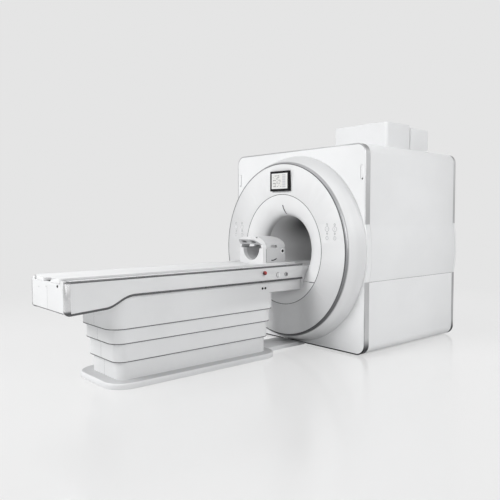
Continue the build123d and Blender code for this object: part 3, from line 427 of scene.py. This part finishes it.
def settle(piece, body, slot, finish=None, smooth=35):  # leaves edit mode, then gives place and finish
    bpy.ops.mesh.select_all(action="SELECT")
    bpy.ops.mesh.remove_doubles(threshold=meshing["weld"])
    bpy.ops.mesh.normals_make_consistent(inside=False)
    bpy.ops.object.mode_set(mode="OBJECT")
    bpy.ops.object.transform_apply(location=True, rotation=True, scale=True)
    bpy.ops.object.shade_smooth_by_angle(angle=math.radians(smooth))
    piece.data.materials.clear()
    piece.data.materials.append(finishes[finish or slot])
    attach(piece, body)
    fitted[piece.name] = (body, slot)
    return piece


def copyAcross(piece):  # a copy with its own mesh, on the left of the middle line
    body, slot = fitted[piece.name]
    bpy.ops.object.select_all(action="DESELECT")
    twin = piece.copy()
    twin.data = piece.data.copy()
    twin.name = piece.name.replace("right", "left")
    bpy.context.scene.collection.objects.link(twin)
    twin.select_set(True)
    bpy.context.view_layer.objects.active = twin
    bpy.ops.object.mode_set(mode="EDIT")
    bpy.ops.mesh.select_all(action="SELECT")
    bpy.ops.transform.resize(value=(-1, 1, 1), center_override=(0, 0, 0))
    bpy.ops.mesh.normals_make_consistent(inside=False)
    bpy.ops.object.mode_set(mode="OBJECT")
    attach(twin, body)


def hollowOut(rim, rise):  # a flat shape keeps only its rim, which then gets its height
    bpy.ops.mesh.select_mode(type="FACE")
    bpy.ops.mesh.select_all(action="SELECT")
    bpy.ops.mesh.inset(thickness=rim)
    bpy.ops.mesh.delete(type="FACE")
    bpy.ops.mesh.select_all(action="SELECT")
    bpy.ops.mesh.extrude_region_move(TRANSFORM_OT_translate={"value": rise})


coverShadeStrips = {  # painted shade: a dark strip at the foot of each telescoping cover stands in for the shadow under its edge, metres
    "wide": 0.636, "long": 1.784, "corner": 0.13, "cornerSteps": 14, "middle": -2.248,
    "stepSide": 0.015, "stepEnd": 0.029, "tall": 0.007, "proud": 0.0008, "deep": 0.003,
    "on": (("pedestal_cover_top", "table"), ("pedestal_cover_middle", "cover_middle"),
           ("pedestal_cover_lower", "cover_lower")),
}


def coverShadeStrip(step, node, body):
    wide = coverShadeStrips["wide"] - 2 * step * coverShadeStrips["stepSide"] + 2 * coverShadeStrips["proud"]
    long = coverShadeStrips["long"] - 2 * step * coverShadeStrips["stepEnd"] + 2 * coverShadeStrips["proud"]
    corner = coverShadeStrips["corner"] - step * coverShadeStrips["stepSide"] + coverShadeStrips["proud"]
    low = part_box(node)[0][2]
    piece = begin("seal_" + node, bpy.ops.mesh.primitive_plane_add, size=1, location=(0, 0, 0))
    bpy.ops.transform.resize(value=(wide, long, 1), center_override=(0, 0, 0))
    bpy.ops.transform.translate(value=(0, coverShadeStrips["middle"], low))
    bpy.ops.mesh.bevel(offset=corner, segments=coverShadeStrips["cornerSteps"], affect="VERTICES")
    hollowOut(coverShadeStrips["deep"] + coverShadeStrips["proud"], (0, 0, coverShadeStrips["tall"]))
    settle(piece, body, "wheel_rubber", "seamSeal")


for step, (node, body) in enumerate(coverShadeStrips["on"]):
    coverShadeStrip(step, node, body)
print("cover seals made")

faceOf = {"x": (0, math.radians(90), 0), "y": (math.radians(90), 0, 0), "z": (0, 0, 0)}
outOf = {"x": (1, 0, 0), "y": (0, -1, 0), "z": (0, 0, 1)}  # which way a piece on that face looks

funnelSeal = {"middle": 1.041, "inner": 0.5905, "outer": 0.5962, "front": -0.9975, "back": -0.9925,
              "steps": 256, "body": "scanner", "slot": "wheel_rubber", "finish": "seamSeal"}
dishLip = {"middle": 1.041, "inner": 0.916, "outer": 0.9262, "front": -1.0092, "back": -1.003,
           "steps": 320, "body": "scanner", "slot": "ring_grey", "finish": "ringLip"}


def ringSeal(name, middle, inner, outer, front, back, steps, body, slot, finish):
    piece = begin(name, bpy.ops.mesh.primitive_circle_add, vertices=steps, radius=outer,
                  fill_type="NGON", location=(0, front, middle), rotation=faceOf["y"])
    hollowOut(outer - inner, (0, back - front, 0))
    settle(piece, body, slot, finish)


ringSeal("funnel_seal", **funnelSeal)
ringSeal("dish_lip", **dishLip)

funnelJoint = {  # a thin slice of the upper funnel's foot, let down into the joint
    "node": "flare_upper", "height": 0.7203, "tall": 0.0075, "drop": 0.0055, "proud": 0.0008,
    "body": "scanner", "slot": "wheel_rubber", "finish": "seamSeal",
}


def jointSlice(name, node, height, tall, drop, proud, body, slot, finish):
    bpy.ops.object.select_all(action="DESELECT")
    piece = bpy.data.objects.new(name, nodes[node].data.copy())
    bpy.context.scene.collection.objects.link(piece)
    piece.select_set(True)
    bpy.context.view_layer.objects.active = piece
    bpy.ops.object.mode_set(mode="EDIT")
    bpy.ops.mesh.select_all(action="SELECT")
    bpy.ops.mesh.remove_doubles(threshold=meshing["weldCopied"])
    bpy.ops.mesh.bisect(plane_co=(0, 0, height + tall), plane_no=(0, 0, 1), clear_outer=True,
                        use_fill=True)
    bpy.ops.mesh.select_all(action="SELECT")
    bpy.ops.transform.translate(value=(0, 0, -drop))
    bpy.ops.mesh.normals_make_consistent(inside=False)
    bpy.ops.transform.shrink_fatten(value=proud)
    settle(piece, body, slot, finish)


jointSlice("funnel_joint", **funnelJoint)
print("funnel seals made")


def button(name, place, radius, tall, axis, body, slot, rim=0.25, dome=0.3, soft=0.2):
    piece = begin(name, bpy.ops.mesh.primitive_cylinder_add, vertices=meshing["roundSteps"],
                  radius=radius, depth=tall, location=place, rotation=faceOf[axis])
    out = Vector(outOf[axis])  # low and domed: the rim is softened, its middle raised
    pickFaces(piece, lambda middle, normal: normal.dot(out) > 0.9)
    bpy.ops.mesh.bevel(offset=min(radius, tall) * soft, segments=3, affect="EDGES")
    pickFaces(piece, lambda middle, normal: normal.dot(out) > 0.99)
    bpy.ops.mesh.inset(thickness=radius * rim)
    bpy.ops.transform.translate(value=out * tall * dome)
    return settle(piece, body, slot)


def collar(name, place, outer, inner, tall, axis, body, slot, finish=None, steps=64, soft=0.3):
    piece = begin(name, bpy.ops.mesh.primitive_circle_add, vertices=steps, radius=outer,
                  fill_type="NGON", location=place, rotation=faceOf[axis])
    out = Vector(outOf[axis])  # a flat ring, softened round its top
    hollowOut(outer - inner, out * tall)
    pickEdges(piece, lambda middle, line: (middle - Vector(place)).dot(out) > tall * 0.99)
    bpy.ops.mesh.bevel(offset=tall * soft, segments=2, affect="EDGES")
    return settle(piece, body, slot, finish)


def strip(name, middle, size, soft, body, slot, finish=None, ends=None, nearlyHalf=0.499):
    piece = begin(name, bpy.ops.mesh.primitive_cube_add, size=1, location=middle)
    bpy.ops.transform.resize(value=size, center_override=middle)
    if ends:  # a bar that is round at both ends, seen along this axis
        deep = Vector(outOf[ends])
        pickEdges(piece, lambda place, line: abs(line.dot(deep)) > 0.9)
        bpy.ops.mesh.bevel(offset=sorted(size)[1] * nearlyHalf, segments=8, affect="EDGES")
        pickFaces(piece, lambda place, normal: normal.dot(deep) > 0.9)
    else:
        bpy.ops.mesh.select_all(action="SELECT")
    bpy.ops.mesh.bevel(offset=soft, segments=2, affect="EDGES")
    return settle(piece, body, slot, finish)


seamEdge = 0.0004
seams = {  # rubber in the straight joints, and a dark strip along the foot of the cap's end face: middle and size in metres, and the body it moves with
    "cap_seal": ((0, -3.5221, 0.766), (0.0024, 0.0012, 0.205), "table"),
    "cap_foot_seal": ((0, -3.5229, 0.6632), (0.632, 0.0018, 0.006), "table"),
    "pedestal_seal_top": ((0, -3.1391, 0.62), (0.0024, 0.0012, 0.278), "table"),
    "pedestal_seal_middle": ((0, -3.1101, 0.416), (0.0024, 0.0012, 0.12), "cover_middle"),
    "pedestal_seal_lower": ((0, -3.0811, 0.276), (0.0024, 0.0012, 0.15), "cover_lower"),
    "pedestal_seal_foot": ((0, -3.0521, 0.122), (0.0024, 0.0012, 0.142), "scanner"),
    "side_seal_right": ((0.9955, 0.0305, 0.74575), (0.006, 1.52, 0.007), "scanner"),
    "side_seal_left": ((-0.9955, 0.0305, 0.74575), (0.006, 1.52, 0.007), "scanner"),
}
for name, (middle, size, body) in seams.items():
    strip(name, middle, size, seamEdge, body, "wheel_rubber", "seamSeal")
print("straight seals made")

frontLock = {  # the right one; the left one is its copy
    "place": (0.956, -0.7955, 1.83), "gap": (0.0395, 0.001, 0.1495), "gapEdge": 0.0002,
    "cap": (0.033, 0.0036, 0.143), "capEdge": 0.0008, "capProud": 0.002,
    "key": dict(place=(0.956, -0.7993, 1.769), radius=0.0085, tall=0.002),
}
place = Vector(frontLock["place"])
capPlace = place - Vector((0, frontLock["capProud"], 0))
gap = strip("lock_gap_right", place, frontLock["gap"], frontLock["gapEdge"], "scanner", "wheel_rubber",
            "seamSeal", ends="y")
cap = strip("lock_cap_right", capPlace, frontLock["cap"], frontLock["capEdge"], "scanner",
            "cover_white", ends="y")
key = button("lock_key_right", axis="y", body="scanner", slot="knob_grey", **frontLock["key"])
for piece in (gap, cap, key):
    copyAcross(piece)
print("cover locks made")

tableControls = {
    "stop": dict(place=(0.345, -1.547, 0.845), outer=0.031, inner=0.0212, tall=0.0035),
    "latch": dict(place=(0.216, -3.5245, 0.865), radius=0.010, tall=0.005),
    "screwPlaces": ((-0.172, -3.5238, 0.83), (-0.02, -3.5238, 0.844)),
    "screw": dict(radius=0.006, tall=0.0026),
    "knobs": (dict(place=(0.345, -1.361, 0.815), outer=0.0248, inner=0.0214, tall=0.0014),
              dict(place=(0.345, -1.252, 0.815), outer=0.0208, inner=0.0174, tall=0.0014)),
    "keyPlaces": ((0.318, -1.543, 0.69), (0.318, -1.507, 0.69)),
    "key": dict(outer=0.0122, inner=0.0085, tall=0.0018),
}
collar("stop_collar", axis="x", body="table", slot="knob_white", **tableControls["stop"])
button("end_latch", axis="y", body="table", slot="key_black", **tableControls["latch"])
for number, place in enumerate(tableControls["screwPlaces"]):
    button("end_screw_%d" % number, place, axis="y", body="table", slot="knob_grey",
           **tableControls["screw"])
# painted shade: a dark ring round each knob stands in for the shadow round it
for number, knob in enumerate(tableControls["knobs"]):
    collar("knob_shade_ring_%d" % number, axis="x", body="table", slot="wheel_rubber", finish="seamSeal",
           **knob)
for number, place in enumerate(tableControls["keyPlaces"]):
    collar("key_collar_%d" % number, place, axis="x", body="table", slot="key_black",
           **tableControls["key"])
print("table controls dressed")

coilDetail = {  # on the coil's right side, metres and degrees; sunk is how far it goes into the face
    "face": 0.186,
    "seam": dict(at=(-1.378, 0.998), sunk=0.0004, size=(0.003, 0.005, 0.134), soft=0.0008),
    "pivot": dict(at=(-1.153, 1.039), sunk=0.0002, ring=0.0275, ringTall=0.0022, screw=0.0165,
                  screwTall=0.003),
    "slot": dict(at=(-1.294, 1.0475), sunk=0.0002, radius=0.1, half=22.0, tall=0.011, deep=0.0018,
                 turn=13.0, steps=14, smooth=60),
    "eye": dict(at=(-1.2, 0.963), sunk=0.0006, outer=0.011, inner=0.0085, tall=0.0014),
    "latch": dict(place=(0.09, -1.425, 1.1745), radius=0.0105, tall=0.014),
    "latchRing": dict(drop=0.004, outer=0.017, inner=0.0108, tall=0.008),
}


def onSide(detail, sunk=0.0):
    return (coilDetail["face"] - sunk, *detail["at"])


def coilSlot(at, sunk, radius, half, tall, deep, turn, steps, smooth):
    middle = (coilDetail["face"], *at)  # the middle of the slot's arch, which is turned a little
    start = (coilDetail["face"] - sunk, at[0], at[1] - radius)
    piece = begin("coil_slot_right", bpy.ops.mesh.primitive_plane_add, size=1, rotation=(0, 0, 0),
                  location=start)
    bpy.ops.transform.rotate(value=math.radians(90), orient_axis="X", center_override=start)
    bpy.ops.transform.resize(value=(deep, 1, tall), center_override=start)
    bpy.ops.transform.rotate(value=math.radians(half), orient_axis="X", center_override=middle)
    bpy.ops.mesh.spin(steps=steps, angle=2 * math.radians(half), center=middle, axis=(-1, 0, 0))
    bpy.ops.mesh.select_all(action="SELECT")
    bpy.ops.transform.rotate(value=math.radians(-turn), orient_axis="X", center_override=middle)
    return settle(piece, "tabletop", "key_black", smooth=smooth)


seam, pivot, eye = coilDetail["seam"], coilDetail["pivot"], coilDetail["eye"]
made = [
    strip("coil_seam_right", onSide(seam, seam["sunk"]), seam["size"], seam["soft"], "tabletop",
          "wheel_rubber", "seamSeal"),
    collar("coil_ring_right", onSide(pivot, pivot["sunk"]), pivot["ring"], pivot["screw"],
           pivot["ringTall"], "x", "coil_lid", "coil_white", "knob_white"),
    button("coil_screw_right", onSide(pivot), pivot["screw"], pivot["screwTall"], "x", "coil_lid",
           "key_black"),
    coilSlot(**coilDetail["slot"]),
    collar("coil_eye_right", onSide(eye, eye["sunk"]), eye["outer"], eye["inner"], eye["tall"], "x",
           "tabletop", "knob_grey"),
]
for piece in made:
    copyAcross(piece)
button("coil_latch", axis="z", body="coil_lid", slot="key_black", **coilDetail["latch"])
ring = coilDetail["latchRing"]
collar("coil_latch_ring", Vector(coilDetail["latch"]["place"]) - Vector((0, 0, ring["drop"])),
       ring["outer"], ring["inner"], ring["tall"], "z", "coil_lid", "knob_white")
print("head coil dressed")

studio = {  # tones of the floor, its reach and where its shadow fades out in metres, then the air's
    "backdrop": 0.783, "near": 0.94, "catch": 0.7, "bounce": 0.78, "shadow": 0.3, "mirror": 0.2,
    "mirrorRoughness": 0.22, "filmHeight": 0.0002,
    "reach": 40.0, "middle": -1.2, "from": 2.2, "to": 6.5,
    "air": 0.24, "airTone": (0.98, 0.99, 1, 1), "backTone": (1, 1, 1, 1),
}


def nearby(finish, most):  # the most round the machine, nothing far off
    away = (finish.x * finish.x + (finish.y - studio["middle"]) ** 2.0) ** 0.5
    return away.ramp(studio["from"], studio["to"], most, 0.0)


def studioFloor(name):  # near the machine the floor is painted brighter, a painted reflection of the machine, and holds a soft shadow; far off it is the backdrop
    finish = Finish(name)
    path = finish.add("LightPath", out=None)
    close = nearby(finish, 1.0)
    tone = finish.blend(close, (studio["backdrop"],) * 3, (studio["near"],) * 3)
    plain = finish.add("Emission", {}, {"Color": tone})
    catcher = finish.add("BsdfDiffuse", {}, {"Color": (studio["catch"],) * 3})
    seen = finish.add("MixShader", {}, {0: close * studio["shadow"], 1: plain, 2: catcher})
    other = finish.add("BsdfDiffuse", {}, {"Color": (studio["bounce"],) * 3})
    shader = finish.add("MixShader", {}, {0: Wire(finish, path.outputs["Is Camera Ray"]),
                                          1: other, 2: seen})
    finish.add("OutputMaterial", {}, {"Surface": shader}, out=None)
    return finish.material


def floorFilm(name):  # a faint image of the machine lies on the floor
    finish = Finish(name)
    path = finish.add("LightPath", out=None)
    clear = finish.add("BsdfTransparent", {}, {})
    sheen = finish.add("BsdfAnisotropic", {}, {"Color": (1, 1, 1),
                                               "Roughness": studio["mirrorRoughness"]})
    amount = Wire(finish, path.outputs["Is Camera Ray"]) * nearby(finish, studio["mirror"])
    shader = finish.add("MixShader", {}, {0: amount, 1: clear, 2: sheen})
    finish.add("OutputMaterial", {}, {"Surface": shader}, out=None)
    return finish.material


def stagePlane(name, height, finish):
    bpy.ops.object.select_all(action="DESELECT")
    bpy.ops.mesh.primitive_plane_add(size=studio["reach"] * 2, location=(0, 0, height))
    plane = bpy.context.object
    plane.name = name
    plane.data.materials.append(finish)
    return plane


stagePlane("studioFloor", 0.0, studioFloor("studioFloor"))
film = stagePlane("studioFilm", studio["filmHeight"], floorFilm("studioFilm"))
unlit = bpy.data.collections.new("unlit")  # the lamps leave this out, so the floor doesn't show them
unlit.objects.link(film)
unlit.collection_objects[0].light_linking.link_state = "EXCLUDE"

world = bpy.data.worlds.new("studioAir")
bpy.context.scene.world = world
world.use_nodes = True
air = world.node_tree
air.nodes.clear()
path = air.nodes.new("ShaderNodeLightPath")
backdrop, fill = (air.nodes.new("ShaderNodeBackground") for number in range(2))
backdrop.inputs["Color"].default_value = studio["backTone"]
backdrop.inputs["Strength"].default_value = studio["backdrop"]
fill.inputs["Color"].default_value = studio["airTone"]
fill.inputs["Strength"].default_value = studio["air"]
glossy, clear = (air.nodes.new("ShaderNodeMath") for number in range(2))
glossy.operation = clear.operation = "MAXIMUM"
either = air.nodes.new("ShaderNodeMixShader")
air.links.new(path.outputs["Is Camera Ray"], glossy.inputs[0])
air.links.new(path.outputs["Is Glossy Ray"], glossy.inputs[1])
air.links.new(glossy.outputs[0], clear.inputs[0])
air.links.new(path.outputs["Is Transmission Ray"], clear.inputs[1])
air.links.new(clear.outputs[0], either.inputs[0])
air.links.new(fill.outputs[0], either.inputs[1])
air.links.new(backdrop.outputs[0], either.inputs[2])
air.links.new(either.outputs[0], air.nodes.new("ShaderNodeOutputWorld").inputs[0])

softboxes = {  # where each stands, the point it faces, its size in metres and its power in watts
    "frontBox": dict(where=(-2.0, -9.0, 5.5), aim=(0, -1.0, 1.4), size=4.0, power=565),
    "sideBox": dict(where=(8.5, 0.5, 5.0), aim=(0.5, 0, 1.2), size=4.0, power=345),
    "topBox": dict(where=(0.5, -1.0, 7.5), aim=(0, -1.0, 1.0), size=4.0, power=60),
    "backBox": dict(where=(-3.5, 8.5, 3.2), aim=(0, 0.6, 1.3), size=4.0, power=240),
    "boreBox": dict(where=(4.6, -6.2, 1.9), aim=(-0.3, -0.6, 1.1), size=2.0, power=24),
}
for name, box in softboxes.items():
    lamp = bpy.data.lights.new(name, "AREA")
    lamp.size = box["size"]
    lamp.energy = box["power"]
    holder = bpy.data.objects.new(name, lamp)
    bpy.context.scene.collection.objects.link(holder)
    holder.light_linking.receiver_collection = unlit
    holder.location = box["where"]
    way = Vector(box["aim"]) - Vector(box["where"])
    holder.rotation_euler = way.to_track_quat("-Z", "Y").to_euler()

photoView = {  # the photograph's own view: metres, degrees, and the lens in millimetres
    "place": (4.56615, -5.21348, 1.40184), "down": 3.23, "turn": 47.69,
    "lens": 41.282, "sensor": 36, "shift": (-0.0546, -0.0032),
}
view = bpy.data.cameras.new("photoView")
view.lens = photoView["lens"]
view.sensor_width = photoView["sensor"]
view.shift_x, view.shift_y = photoView["shift"]
viewer = bpy.data.objects.new("photoView", view)
bpy.context.scene.collection.objects.link(viewer)
viewer.location = photoView["place"]
viewer.rotation_euler = (math.radians(90 - photoView["down"]), 0, math.radians(photoView["turn"]))
bpy.context.scene.camera = viewer
bpy.context.scene.view_settings.view_transform = "Standard"
print("studio set")
